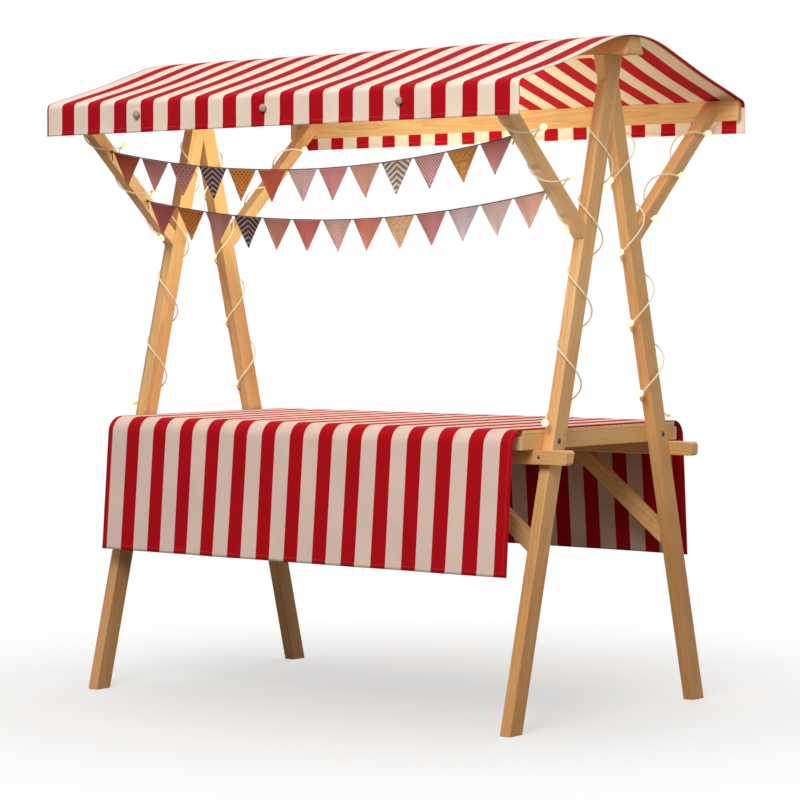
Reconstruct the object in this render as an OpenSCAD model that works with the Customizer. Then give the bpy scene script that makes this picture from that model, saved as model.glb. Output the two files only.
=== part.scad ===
// Wooden market stall: two A-frames of crossed legs carry a striped canopy and a draped table.
// Millimetres. X runs along the counter, the front faces -Y, and the feet stand on Z = 0.

/* [A-frames] */
// Length over the outer faces of the two A-frames
frame_length = 1808; // [1500:1:2400]
// Distance between the centre lines of a front and a back leg at the ground
foot_spread = 1057; // [950:1:1150]
// Height at which the two centre lines cross
cross_height = 2056; // [1950:1:2200]
// Width of a leg in the plane of its A-frame
leg_width = 65; // [55:1:75]
// Thickness of a leg along the counter
leg_thick = 40; // [34:1:50]
// Height of the flat leg tops above the crossing
leg_top_rise = 84; // [70:1:100]

/* [Roof frame] */
// Width over the outer faces of the eave beams
eave_span = 1302; // [1240:1:1400]
// Drop from the leg tops to where the roof slope meets the outer faces of the eave beams
eave_drop = 121; // [100:1:160]
// Thickness of an eave beam
eave_beam_thick = 20; // [19:1:40]
// Depth of an eave beam below the eave height
eave_beam_depth = 62; // [50:1:80]
// Radius of the rounded outer top edge of an eave beam
eave_round = 18; // [8:1:19]
// How far the eave beams and the ridge beam reach beyond each A-frame
beam_overhang = 84; // [40:1:90]
// Width of the ridge beam at its underside
ridge_width = 100; // [80:1:110]
// Height from the leg tops to the line where the two slopes would meet
ridge_height = 83; // [70:1:95]
// Radius of the broad crown of the roof
ridge_round = 540; // [400:1:620]
// How far each side of the ridge beam leans in up to that line
ridge_slant = 38; // [0:1:45]

/* [Eave braces] */
// Width of a brace in the plane of its A-frame
brace_width = 46; // [38:1:60]
// Thickness of a brace along the counter
brace_thick = 40; // [30:1:50]
// Drop from the eave height to where the lower edge of a brace meets its leg
brace_drop = 474; // [440:1:510]
// Height above the underside of an eave beam at which the lower edge of a brace meets it
brace_seat = 15; // [5:1:25]

/* [Table frame] */
// Height of the tops of the two long rails
rail_top = 882; // [820:1:940]
// Height of the section of a long rail
rail_height = 46; // [40:1:70]
// Thickness of a long rail at its underside
rail_thick = 34; // [28:1:42]
// How far a long rail reaches beyond each A-frame
rail_overhang = 86; // [40:1:150]
// Chamfer on the end corners of a long rail
rail_chamfer = 7; // [0:1:12]
// Height of the end rails, the batten and the aprons
apron_height = 50; // [40:1:70]
// Distance between the inner faces of the aprons, and length of the end rails
apron_gap = 786; // [740:1:860]
// Thickness of an apron
apron_thick = 42; // [30:1:44]
// Thickness of the end rails and of the middle batten
end_rail_thick = 36; // [28:1:50]
// Thickness of the thin lip on the outer face of an apron
lip_thick = 12; // [8:1:14]
// Height of the lip
lip_height = 44; // [30:1:48]
// Thickness of a board
board_thick = 12; // [10:1:24]
// Gap between two boards
board_gap = 4; // [2:1:8]

/* [Knee braces] */
// Width of a knee brace, seen from the front
knee_width = 50; // [40:1:65]
// Slope of a knee brace from the level, in degrees
knee_angle = 38.5; // [34:0.5:46]
// Drop from the underside of a long rail to where the lower edge of a knee brace meets its leg
knee_drop = 295; // [260:1:340]

/* [Cloth] */
// How far the canopy reaches beyond each A-frame
canopy_overhang = 96; // [90:1:150]
// Drop of the valance below the eave height
valance_drop = 105; // [80:1:150]
// Gap between the edges of the tablecloth and the A-frames
cloth_gap = 3; // [2:1:60]
// Radius of the soft shoulders of the tablecloth
shoulder_round = 55; // [40:1:70]
// How far a hem stands out beyond the shoulder above it
hem_flare = 35; // [0:1:60]
// Drop from the table top to the hems
skirt_drop = 455; // [300:1:600]
// Thickness of canopy and tablecloth
cloth_thick = 3; // [2:0.5:5]
// Clearance between a soft or wound piece and what carries it
seat = 0.3; // [0.2:0.1:0.5]

/* [Canopy knobs] */
// Distance between two knobs along the valance
knob_spacing = 560; // [300:1:800]
// Shift of the row of knobs from the middle of the valance
knob_shift = -14; // [-60:1:60]
// Depth of the knobs below the eave height
knob_drop = 46; // [34:1:54]
// Diameter of the head of a knob
knob_diameter = 26; // [16:1:32]
// Length of a knob out of the cloth
knob_length = 18; // [14:1:24]

/* [Bunting] */
// Diameter of a bunting cord
cord_diameter = 4; // [3:0.5:6]
// Drop of a pennant from its cord to its tip
flag_drop = 104; // [80:1:140]
// Thickness of a pennant
flag_thick = 2; // [1:0.5:3]

/* [String lights] */
// Diameter of the light wire
wire_diameter = 5; // [3:0.5:6]
// Depth below the crossing at which the wire passes from a front leg to a back leg
wire_drop = 126; // [115:1:140]
// How much higher the wire starts on a back leg than on a front leg
back_wire_lift = 0; // [0:1:24]
// Height that one turn of wire takes on a leg
leg_turn = 231; // [222:1:240]
// Length that one turn of wire takes on a brace
brace_turn = 216; // [205:1:235]
// Length of a brace left bare at the eave beam of the right A-frame
right_wire_gap = 65; // [44:1:80]
// The same length for the left A-frame
left_wire_gap = 61; // [44:1:90]
// How much wider the loose turns of wire are than tight ones on the right A-frame
right_wire_slack = 0.25; // [0:0.05:0.4]
// The same for the left A-frame, which is wound more closely
left_wire_slack = 0.1; // [0:0.05:0.4]
// Least height of the last turn on a left leg above the table boards
wire_stop = 30; // [20:1:60]
// Least length of a brace left bare at its foot
wire_foot = 65; // [55:1:80]
// Diameter of a lamp globe
globe_diameter = 24; // [16:1:28]
// Diameter of a lamp holder
holder_diameter = 10; // [8:1:14]
// Length of a lamp holder
holder_length = 9; // [6:1:12]

/* [Hidden] */

$fn = 48;
pine = [0.90, 0.70, 0.47];
pale_pine = [0.94, 0.79, 0.58];
striped_red = [0.80, 0.13, 0.18];
rosy = [0.78, 0.50, 0.46];
cream = [0.95, 0.90, 0.78];
lamp_white = [1.00, 0.96, 0.86];

// A-frame lines: a leg leans inwards, so its edges are straight lines in the plane across the counter
frame_x = frame_length / 2 - leg_thick / 2;
frame_inner = frame_length / 2 - leg_thick;
leg_slope = foot_spread / 2 / cross_height;
leg_lean = atan(leg_slope);
leg_run = leg_width / cos(leg_lean);
leg_top = cross_height + leg_top_rise;
eave_height = leg_top - eave_drop;
function leg_centre(z) = foot_spread / 2 - leg_slope * z;
function leg_outer(z) = leg_centre(z) + leg_run / 2;
function leg_inner(z) = leg_centre(z) - leg_run / 2;

// Roof lines: the two slopes, a rounded crown over the ridge and a rounded fold at each eave
beam_length = frame_length + 2 * beam_overhang;
canopy_length = frame_length + 2 * canopy_overhang;
eave_half = eave_span / 2;
eave_inner = eave_half - eave_beam_thick;
ridge_line = leg_top + ridge_height;
pitch = atan((ridge_line - eave_height) / eave_half);
crown_centre = [0, ridge_line - ridge_round / cos(pitch)];
fold_y = eave_half - eave_round;
fold_centre = [fold_y, ridge_line - fold_y * tan(pitch) - eave_round / cos(pitch)];

// Brace lines: the lower edge runs from the outer face of a leg to the inner face of an eave beam
brace_foot = eave_height - brace_drop;
brace_rise = brace_drop - eave_beam_depth + brace_seat;
brace_angle = atan(brace_rise / (eave_inner - leg_outer(brace_foot)));
brace_axis_foot = [leg_outer(brace_foot), brace_foot] + brace_width / 2 * [-sin(brace_angle), cos(brace_angle)];
brace_length = (eave_inner - brace_axis_foot.x) / cos(brace_angle);
function brace_axis_y(z) = brace_axis_foot.x + (z - brace_axis_foot.y) / tan(brace_angle);

// Table lines
rail_length = frame_length + 2 * rail_overhang;
rail_bottom = rail_top - rail_height;
rail_outer = leg_outer(rail_bottom) + rail_thick;
knee_foot = rail_bottom - knee_drop;
apron_inner = apron_gap / 2;
apron_outer = apron_inner + apron_thick;
board_bottom = rail_top + apron_height;
board_top = board_bottom + board_thick;
board_count = 5;
board_width = (2 * apron_outer - (board_count - 1) * board_gap) / board_count;

// Tablecloth lines: the skirt is the tangent from the shoulder's arc to the hem
cloth_length = 2 * (frame_inner - cloth_gap);
shoulder_centre = [apron_outer, board_top + seat - shoulder_round];
hem_point = [apron_outer + shoulder_round + hem_flare, board_top - skirt_drop];
hem_reach = norm(hem_point - shoulder_centre);
hem_bearing = atan2(hem_point.y - shoulder_centre.y, hem_point.x - shoulder_centre.x);
skirt_angle = hem_bearing + acos(shoulder_round / hem_reach);
skirt_length = sqrt(hem_reach * hem_reach - shoulder_round * shoulder_round);

// Right half of each bunting cord as [x, z], from the middle pennant's corner out to the last one
upper_half_route = [
    [61, 1781], [70.5, 1781], [192.5, 1785], [202, 1785.5], [324, 1792.5], [333.5, 1793], [455.5, 1804],
    [465, 1805], [587, 1819], [596.5, 1820.5], [718.5, 1838], [728, 1840], [850, 1861]
];
lower_half_route = [
    [61, 1619], [70.5, 1619.5], [192.5, 1623], [202, 1623], [324, 1630], [333.5, 1631], [455.5, 1641],
    [465, 1642], [587, 1655.5], [596.5, 1657], [718.5, 1674], [728, 1675.5], [850, 1696]
];
upper_tie_z = 1864;
lower_tie_z = 1698.5;
upper_cord_y = brace_axis_y(upper_tie_z);
lower_cord_y = brace_axis_y(lower_tie_z);
pennant_count = 13;

// Light wire: an elliptical coil that hangs on one arris of the timber and stands loose at the others
wire_sides = 8;
turn_steps = 16;
step_angle = 360 / turn_steps;
wire_clear = wire_diameter / 2 + seat;
wire_top = cross_height - wire_drop;
wire_room = wire_top - board_top - wire_stop;
coil_start_leg = 180;
coil_start_front_brace = 135;
coil_start_back_brace = 225;
left_leg_steps = 2 + turn_steps * floor((wire_room / leg_turn * turn_steps - 2) / turn_steps);
right_leg_steps = left_leg_steps + 2;
first_front_lamp = 12;
first_back_lamp = 6;
first_front_leg_lamp = 13;
first_back_leg_lamp = 12;
function brace_reach(right) = brace_length - (right ? right_wire_gap : left_wire_gap);
function brace_steps(right) = floor((brace_reach(right) - wire_foot) / brace_turn * turn_steps);
function wire_slack(right) = right ? right_wire_slack : left_wire_slack;
function lamp_steps(first, last) = concat([for (i = [first:turn_steps:last - 3]) i], [last]);

// Points on a circular arc
function arc(centre, radius, from, to, steps) =
    [for (i = [0:steps]) let (a = from + (to - from) * i / steps) centre + radius * [cos(a), sin(a)]];

// Outline under the roof cloth, grown outwards by a distance, closed level at a height
function roof_outline(grow, bottom) = concat(
    [[eave_half + grow, bottom]],
    arc(fold_centre, eave_round + grow, 0, 90 - pitch, 8),
    arc(crown_centre, ridge_round + grow, 90 - pitch, 90 + pitch, 10),
    arc([-fold_centre.x, fold_centre.y], eave_round + grow, 90 + pitch, 180, 8),
    [[-eave_half - grow, bottom]]
);

// One side of the tablecloth from its hem up to its shoulder, grown outwards by a distance
function skirt_side(grow) = concat(
    [shoulder_centre + (shoulder_round + grow) * [cos(skirt_angle), sin(skirt_angle)]
        + skirt_length * [sin(skirt_angle), -cos(skirt_angle)]],
    arc(shoulder_centre, shoulder_round + grow, skirt_angle, 90, 10)
);
function flipped(points) = [for (i = [len(points) - 1:-1:0]) [-points[i].x, points[i].y]];
function cloth_line(grow) = concat(skirt_side(grow), flipped(skirt_side(grow)));
function reversed(points) = [for (i = [len(points) - 1:-1:0]) points[i]];

// Whole route of a bunting cord, from the left brace to the right one
function cord_route(half_route, tie_z, y) = let (
    right = concat(half_route, [[frame_inner - seat, tie_z]]),
    line = concat(flipped(right), right)
) [for (p = line) [p.x, -y, p.y]];

// Half axes of a coil that passes the corners of a bar at the wire's clearance
function coil_axes(thick, width) =
    let (corner = wire_clear * norm([thick, width]) / (thick + width))
    sqrt(2) * [thick / 2 + corner, width / 2 + corner];
leg_coil = coil_axes(leg_thick, leg_width);
brace_coil = coil_axes(brace_thick, brace_width);

function unit(v) = v / norm(v);
function sided(p, back) = [p.x, back ? p.y : -p.y, p.z];

// A turn of the coil in its own plane: widened from the corner where it touches the timber
function turn_point(axes, a, touch, slack) = let (
    corner = [touch.x * axes.x, touch.y * axes.y] / sqrt(2)
) (1 + slack) * [axes.x * cos(a), axes.y * sin(a)] - slack * corner;

// A point on the coil round a leg, counted in steps down from the top
function leg_coil_point(i, right, back) = let (
    touch = back ? [-1, 1] : [-1, -1],
    p = turn_point(leg_coil, coil_start_leg + step_angle * i, touch, wire_slack(right)),
    z = wire_top + (back ? back_wire_lift : 0) - leg_turn * i / turn_steps
) sided([p.x, leg_centre(z) - p.y * cos(leg_lean), z - p.y * sin(leg_lean)], back);

// A point on the coil round an eave brace, counted in steps down from the eave
function brace_turn_angle(i, back) = (back ? coil_start_back_brace : coil_start_front_brace) + step_angle * i;
function brace_coil_point(i, right, back) = let (
    touch = back ? [1, -1] : [-1, -1],
    p = turn_point(brace_coil, brace_turn_angle(i, back), touch, wire_slack(right)),
    along = brace_reach(right) - brace_turn * i / turn_steps,
    y = brace_axis_foot.x + along * cos(brace_angle) - p.y * sin(brace_angle),
    z = brace_axis_foot.y + along * sin(brace_angle) + p.y * cos(brace_angle)
) sided([p.x, y, z], back);

// Outward direction of a coil at one of its points
function leg_coil_out(i, back) = let (
    a = coil_start_leg + step_angle * i,
    n = unit([cos(a) / leg_coil.x, sin(a) / leg_coil.y])
) sided([n.x, -n.y * cos(leg_lean), -n.y * sin(leg_lean)], back);
function brace_coil_out(i, back) = let (
    a = brace_turn_angle(i, back),
    n = unit([cos(a) / brace_coil.x, sin(a) / brace_coil.y])
) sided([n.x, -n.y * sin(brace_angle), n.y * cos(brace_angle)], back);

// Extrudes a [y, z] outline along X, about the middle
module along_x(length) {
    rotate([90, 0, 90]) linear_extrude(length, center = true) children();
}

// Extrudes an [x, z] outline along Y, about the middle
module along_y(length) {
    rotate([90, 0, 0]) linear_extrude(length, center = true) children();
}

// Right or left, and back or front, from the piece drawn on the right at the back
module placed(right, back) {
    mirror([right ? 0 : 1, 0, 0]) mirror([0, back ? 0 : 1, 0]) children();
}

// Round cord through a list of points, with rings square to the route
module cord(points, diameter, upright) {
    last = len(points) - 1;
    rings = [for (i = [0:last]) let (
        t = unit(points[min(i + 1, last)] - points[max(i - 1, 0)]),
        u = unit(cross(upright, t)),
        v = cross(t, u)
    ) for (k = [0:wire_sides - 1]) let (a = 360 * k / wire_sides)
        points[i] + diameter / 2 * (sin(a) * u + cos(a) * v)];
    walls = [for (i = [0:last - 1], k = [0:wire_sides - 1]) let (
        a = i * wire_sides + k,
        b = i * wire_sides + (k + 1) % wire_sides
    ) each [[a, b, b + wire_sides], [a, b + wire_sides, a + wire_sides]]];
    start_cap = [for (k = [wire_sides - 1:-1:0]) k];
    end_cap = [for (k = [0:wire_sides - 1]) last * wire_sides + k];
    polyhedron(rings, concat([start_cap], walls, [end_cap]));
}

// The line of one leg between two heights, as a [y, z] outline at the back
module leg_outline(low, high) {
    polygon([
        [leg_outer(low), low], [leg_outer(high), high], [leg_inner(high), high], [leg_inner(low), low]
    ]);
}

// Leg with a half-lap where the other leg of its A-frame crosses: the front leg keeps the outer half
module leg(right, back) {
    lap_side = back ? 1 : -1;
    color(pine) placed(right, back) difference() {
        translate([frame_x, 0, 0]) along_x(leg_thick) leg_outline(0, leg_top);
        translate([frame_x + lap_side * leg_thick / 2, 0, 0]) along_x(leg_thick)
            mirror([1, 0]) leg_outline(cross_height - 3 * leg_width, leg_top + leg_width);
    }
}

// Brace from the outer face of a leg up to the inner face of an eave beam, cut level with its top
module eave_brace(right, back) {
    color(pine) placed(right, back) translate([frame_x, 0, 0]) along_x(brace_thick) intersection() {
        translate([leg_outer(brace_foot), brace_foot]) rotate(brace_angle)
            translate([-eave_span, 0]) square([2 * eave_span, brace_width]);
        polygon([
            [leg_outer(0), 0], [eave_inner, 0], [eave_inner, eave_height],
            [leg_outer(eave_height), eave_height]
        ]);
    }
}

// Ridge beam on the leg tops, with leaning sides and a crown rounded under the canopy
module ridge_beam() {
    half = ridge_width / 2;
    color(pine) along_x(beam_length) intersection() {
        polygon([
            [half, leg_top], [half - ridge_slant, ridge_line],
            [ridge_slant - half, ridge_line], [-half, leg_top]
        ]);
        polygon(roof_outline(0, 0));
    }
}

// Eave beam, bevelled to the roof slope and rounded where the canopy folds over it
module eave_beam(back) {
    color(pine) placed(true, back) along_x(beam_length) intersection() {
        translate([eave_inner, eave_height - eave_beam_depth])
            square([eave_beam_thick, 2 * eave_beam_depth]);
        polygon(roof_outline(0, 0));
    }
}

// Long rail on the outer faces of two legs, bevelled to their lean, with chamfered end corners
module table_rail(back) {
    half = rail_length / 2;
    color(pine) placed(true, back) intersection() {
        along_x(rail_length) polygon([
            [leg_outer(rail_bottom), rail_bottom], [rail_outer, rail_bottom],
            [rail_outer, rail_top], [leg_outer(rail_top), rail_top]
        ]);
        along_y(foot_spread) polygon([
            [half, rail_bottom + rail_chamfer], [half, rail_top - rail_chamfer],
            [half - rail_chamfer, rail_top], [rail_chamfer - half, rail_top],
            [-half, rail_top - rail_chamfer], [-half, rail_bottom + rail_chamfer],
            [rail_chamfer - half, rail_bottom], [half - rail_chamfer, rail_bottom]
        ]);
    }
}

// Cross rail on the two long rails
module cross_rail(x) {
    translate([x, -apron_inner, rail_top]) cube([end_rail_thick, apron_gap, apron_height]);
}
module table_end_rail(right) {
    color(pine) placed(right, true) cross_rail(frame_inner - end_rail_thick);
}
module middle_table_batten() {
    color(pine) cross_rail(-end_rail_thick / 2);
}

// Apron across the ends of the cross rails
module table_apron(back) {
    color(pine) placed(true, back) translate([-frame_inner, apron_inner, rail_top])
        cube([2 * frame_inner, apron_thick, apron_height]);
}

// Thin lip on the outer face of an apron
module table_lip(back) {
    color(pale_pine) placed(true, back) translate([-frame_inner, apron_outer, rail_top])
        cube([2 * frame_inner, lip_thick, lip_height]);
}

// One board of the table top, counted from the front
module table_board(number) {
    color(pale_pine)
        translate([-frame_inner, -apron_outer + (number - 1) * (board_width + board_gap), board_bottom])
            cube([2 * frame_inner, board_width, board_thick]);
}

// Knee brace in line with a long rail, from the inner face of a leg up to the underside of the rail
module knee_brace(right, back) {
    inner_edge = leg_outer(rail_bottom);
    color(pine) placed(right, back) translate([0, (inner_edge + rail_outer) / 2, 0])
        along_y(rail_thick) intersection() {
            translate([frame_inner, knee_foot]) rotate(180 - knee_angle)
                translate([-frame_inner, -knee_width]) square([2 * frame_inner, knee_width]);
            square([frame_inner, rail_bottom]);
        }
}

// Canopy over the three beams, with a valance hanging at each eave and open gables
module canopy() {
    hem = eave_height - valance_drop;
    color(striped_red) along_x(canopy_length) difference() {
        polygon(roof_outline(seat + cloth_thick, hem));
        polygon(roof_outline(seat, hem - valance_drop));
    }
}

// Turned knob that holds the canopy to an eave beam, standing out of the valance
module knob() {
    head = knob_diameter / 2;
    neck = 0.6 * head;
    shoulder = knob_length - head * 0.8;
    rotate_extrude() polygon(concat(
        [[0, 0], [neck, 0], [neck, shoulder / 2], [head, shoulder]],
        [for (a = [15:15:75]) [head * cos(a), shoulder + 0.8 * head * sin(a)]],
        [[0, knob_length]]
    ));
}
module canopy_knobs() {
    color(pale_pine)
        for (back = [true, false], x = [-knob_spacing, 0, knob_spacing])
            placed(true, back)
                translate([x + knob_shift, eave_half + seat + cloth_thick, eave_height - knob_drop])
                    rotate([-90, 0, 0]) knob();
}

// Tablecloth over the boards, hanging as a skirt at the front and at the back
module tablecloth() {
    color(striped_red) along_x(cloth_length)
        polygon(concat(cloth_line(cloth_thick), reversed(cloth_line(0))));
}

module bunting_cord(half_route, tie_z, y) {
    color(cream) cord(cord_route(half_route, tie_z, y), cord_diameter, [0, 0, 1]);
}

// Row of pennants, each hung from two neighbouring points of its cord
module bunting_flags(half_route, tie_z, y) {
    route = cord_route(half_route, tie_z, y);
    below = [0, cord_diameter / 2 + seat];
    color(rosy) for (i = [0:pennant_count - 1]) {
        a = [route[2 * i + 1].x, route[2 * i + 1].z] - below;
        b = [route[2 * i + 2].x, route[2 * i + 2].z] - below;
        translate([0, -y, 0]) along_y(flag_thick) polygon([a, b, (a + b) / 2 - [0, flag_drop]]);
    }
}

// Light wire up the front leg, across the top and down the back leg of one A-frame
module leg_light_wire(right) {
    last = right ? right_leg_steps : left_leg_steps;
    front = [for (i = [last:-1:0]) leg_coil_point(i, right, false)];
    back = [for (i = [0:last]) leg_coil_point(i, right, true)];
    color(cream) translate([right ? frame_x : -frame_x, 0, 0])
        cord(concat(front, back), wire_diameter, [0, 0, 1]);
}

// Light wire wound down one eave brace
module brace_light_wire(right, back) {
    route = [for (i = [0:brace_steps(right)]) brace_coil_point(i, right, back)];
    color(cream) translate([right ? frame_x : -frame_x, 0, 0])
        cord(route, wire_diameter, [0, back ? 1 : -1, 1]);
}

// Lamp: a holder with a round globe, standing on the wire at a point and looking outwards
module lamp(point, out) {
    translate(point + (wire_diameter / 2 + seat) * out)
        rotate([0, acos(out.z), atan2(out.y, out.x)]) {
            cylinder(d = holder_diameter, h = holder_length);
            translate([0, 0, holder_length + 0.4 * globe_diameter]) sphere(d = globe_diameter);
        }
}
module lamps(right) {
    last = right ? right_leg_steps : left_leg_steps;
    color(lamp_white) translate([right ? frame_x : -frame_x, 0, 0])
        for (back = [false, true]) {
            for (i = lamp_steps(back ? first_back_leg_lamp : first_front_leg_lamp, last))
                lamp(leg_coil_point(i, right, back), leg_coil_out(i, back));
            for (i = lamp_steps(back ? first_back_lamp : first_front_lamp, brace_steps(right)))
                lamp(brace_coil_point(i, right, back), brace_coil_out(i, back));
        }
}

leg(true, false);  // right_front_leg
leg(true, true);  // right_back_leg
leg(false, false);  // left_front_leg
leg(false, true);  // left_back_leg
eave_brace(true, false);  // right_front_eave_brace
eave_brace(true, true);  // right_back_eave_brace
eave_brace(false, false);  // left_front_eave_brace
eave_brace(false, true);  // left_back_eave_brace
ridge_beam();
eave_beam(false);  // front_eave_beam
eave_beam(true);  // back_eave_beam
table_rail(false);  // front_table_rail
table_rail(true);  // back_table_rail
table_end_rail(true);  // right_table_end_rail
table_end_rail(false);  // left_table_end_rail
middle_table_batten();
table_apron(false);  // front_table_apron
table_apron(true);  // back_table_apron
table_lip(false);  // front_table_lip
table_lip(true);  // back_table_lip
table_board(1);  // table_board_1
table_board(2);  // table_board_2
table_board(3);  // table_board_3
table_board(4);  // table_board_4
table_board(5);  // table_board_5
knee_brace(true, false);  // right_front_knee_brace
knee_brace(true, true);  // right_back_knee_brace
knee_brace(false, false);  // left_front_knee_brace
knee_brace(false, true);  // left_back_knee_brace
canopy();
canopy_knobs();
tablecloth();
bunting_cord(upper_half_route, upper_tie_z, upper_cord_y);  // upper_bunting_cord
bunting_cord(lower_half_route, lower_tie_z, lower_cord_y);  // lower_bunting_cord
bunting_flags(upper_half_route, upper_tie_z, upper_cord_y);  // upper_bunting_flags
bunting_flags(lower_half_route, lower_tie_z, lower_cord_y);  // lower_bunting_flags
leg_light_wire(true);  // right_leg_light_wire
leg_light_wire(false);  // left_leg_light_wire
brace_light_wire(true, false);  // right_front_brace_light_wire
brace_light_wire(true, true);  // right_back_brace_light_wire
brace_light_wire(false, false);  // left_front_brace_light_wire
brace_light_wire(false, true);  // left_back_brace_light_wire
lamps(true);  // right_lamps
lamps(false);  // left_lamps
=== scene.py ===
# %% [markdown]
# # A wooden market stall
# Two A-frames of pine carry a striped canopy and a draped counter. The timber comes from the packed
# CAD frame and keeps its shape. This lesson dresses it: it makes the cloth, the bunting, the string
# lights and the small hardware as surfaces worked out with numpy, and gives every surface a finish.

import bmesh
import bpy
import numpy as np
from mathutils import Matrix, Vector


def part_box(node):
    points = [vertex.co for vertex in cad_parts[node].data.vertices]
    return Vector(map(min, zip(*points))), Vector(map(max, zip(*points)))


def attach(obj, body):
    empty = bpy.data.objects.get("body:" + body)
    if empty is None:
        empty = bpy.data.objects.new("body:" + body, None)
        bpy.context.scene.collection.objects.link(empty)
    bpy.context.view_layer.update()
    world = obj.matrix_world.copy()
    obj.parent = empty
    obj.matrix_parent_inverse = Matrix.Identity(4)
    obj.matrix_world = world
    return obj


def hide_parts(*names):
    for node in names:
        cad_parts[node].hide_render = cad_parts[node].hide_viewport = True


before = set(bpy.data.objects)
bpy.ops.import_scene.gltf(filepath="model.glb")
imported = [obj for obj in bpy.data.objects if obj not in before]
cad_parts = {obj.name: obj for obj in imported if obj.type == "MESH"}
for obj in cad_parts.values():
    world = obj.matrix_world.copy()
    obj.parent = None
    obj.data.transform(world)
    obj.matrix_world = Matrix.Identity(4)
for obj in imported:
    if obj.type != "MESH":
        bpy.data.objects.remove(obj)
scene = bpy.context.scene
scene.view_settings.view_transform = "Standard"
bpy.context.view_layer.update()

# %% [markdown]
# ## Camera
# The photograph was taken from the front right with a long lens, a little above the counter. A long
# lens keeps the two A-frames nearly parallel, so the camera stands far away and looks almost level.

# %% Camera
EYE = Vector((6.1436, -7.8046, 1.3685))
SIGHT_LINE = Vector((-0.61611, 0.78683, -0.03619))
LENS_MM = 130.6

camera_data = bpy.data.cameras.new("camera")
camera_data.lens = LENS_MM
camera_data.sensor_width = 36.0
camera = bpy.data.objects.new("camera", camera_data)
camera.location = EYE
camera.rotation_euler = SIGHT_LINE.to_track_quat("-Z", "Y").to_euler()
scene.collection.objects.link(camera)
scene.camera = camera
print("camera looks from", np.round(EYE, 2).tolist())

# %% [markdown]
# ## Grids and tubes
# Nearly every soft piece here is one of two things: a sheet, which is a grid of points with two
# parameters, or a tube, which is a ring carried along a line. Both are worked out as whole arrays.
# A grid only needs to know which four points make each cell, so one function serves all of them.


# %% Grids and tubes
def grid_cells(rows, columns, wrap=False):
    """Corner numbers of each cell of a grid stored row by row; wrap joins the last column to the first."""
    row = np.arange(rows - 1)[:, None]
    column = np.arange(columns if wrap else columns - 1)[None, :]
    following = (column + 1) % columns
    corners = [
        row * columns + column,
        row * columns + following,
        (row + 1) * columns + following,
        (row + 1) * columns + column,
    ]
    return np.stack(corners, axis=-1).reshape(-1, 4)


def unit(vectors):
    """Each vector divided by its own length."""
    return vectors / np.linalg.norm(vectors, axis=-1, keepdims=True)


def tube(line, radius, sides, upright):
    """Points and cells of a round tube: each ring is square to the line and starts at its side."""
    along = unit(np.gradient(line, axis=0))
    sideways = unit(np.cross(upright, along))
    over = np.cross(along, sideways)
    turn = np.linspace(0, 2 * np.pi, sides, endpoint=False)[None, :, None]
    rings = line[:, None] + radius * (np.cos(turn) * sideways[:, None] + np.sin(turn) * over[:, None])
    cells = grid_cells(len(line), sides, wrap=True).tolist()
    last_ring = (len(line) - 1) * sides
    cells.append(list(range(sides - 1, -1, -1)))
    cells.append(list(range(last_ring, last_ring + sides)))
    return rings.reshape(-1, 3), cells


def add_piece(name, points, cells, materials, uv=None, material_numbers=None, smooth=True):
    """A mesh object that rides on the stall, with an optional cloth coordinate for each point."""
    mesh = bpy.data.meshes.new(name)
    mesh.from_pydata(np.asarray(points).reshape(-1, 3).tolist(), [], [list(cell) for cell in cells])
    for material in materials:
        mesh.materials.append(material)
    mesh.polygons.foreach_set("use_smooth", np.full(len(mesh.polygons), smooth))
    if material_numbers is not None:
        mesh.polygons.foreach_set("material_index", material_numbers)
    if uv is not None:
        corner_points = np.empty(len(mesh.loops), dtype=np.int32)
        mesh.loops.foreach_get("vertex_index", corner_points)
        layer = mesh.uv_layers.new(name="cloth")
        layer.data.foreach_set("uv", np.asarray(uv).reshape(-1, 2)[corner_points].ravel())
    mesh.update()
    piece = bpy.data.objects.new(name, mesh)
    scene.collection.objects.link(piece)
    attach(piece, "root")
    return piece


print("helpers ready")

# %% [markdown]
# ## Node helpers
# A procedural finish is a small graph of nodes. Writing each node by hand is long, so a helper adds a
# node with its settings and links its inputs. An input that is a plain number is set on the socket. The
# other helpers name the steps that come back in many finishes, such as noise or a mix of two colours.
# The last one is a whole finish, two tones mottled by noise, which serves plastic, turned wood and steel.


# %% Node helpers
def add_node(tree, kind, inputs=None, **settings):
    """A node of that kind, with settings as attributes and inputs as values or links."""
    made = tree.nodes.new(kind)
    for key, value in settings.items():
        setattr(made, key, value)
    for key, value in (inputs or {}).items():
        if isinstance(value, bpy.types.NodeSocket):
            tree.links.new(value, made.inputs[key])
        else:
            made.inputs[key].default_value = value
    return made


def calc(tree, operation, *values):
    """The result of a Math node."""
    return add_node(tree, "ShaderNodeMath", dict(enumerate(values)), operation=operation).outputs[0]


def ease(tree, value, low, high, at_low=0.0, at_high=1.0):
    """A smooth step: at_low below low, at_high above high."""
    inputs = {"Value": value, "From Min": low, "From Max": high, "To Min": at_low, "To Max": at_high}
    return add_node(tree, "ShaderNodeMapRange", inputs, interpolation_type="SMOOTHSTEP").outputs[0]


def blend_colours(tree, share, first, second, blend_type="MIX"):
    """Mix of two colours by a share from 0 to 1."""
    mix = add_node(tree, "ShaderNodeMix", {0: share, 6: first, 7: second}, data_type="RGBA")
    mix.blend_type = blend_type
    return mix.outputs[2]


def srgb(red, green, blue):
    """A colour given as 8-bit screen values, turned into linear light."""
    screen = np.array([red, green, blue]) / 255
    linear = np.where(screen <= 0.04045, screen / 12.92, ((screen + 0.055) / 1.055) ** 2.4)
    return (*linear.tolist(), 1.0)


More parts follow.
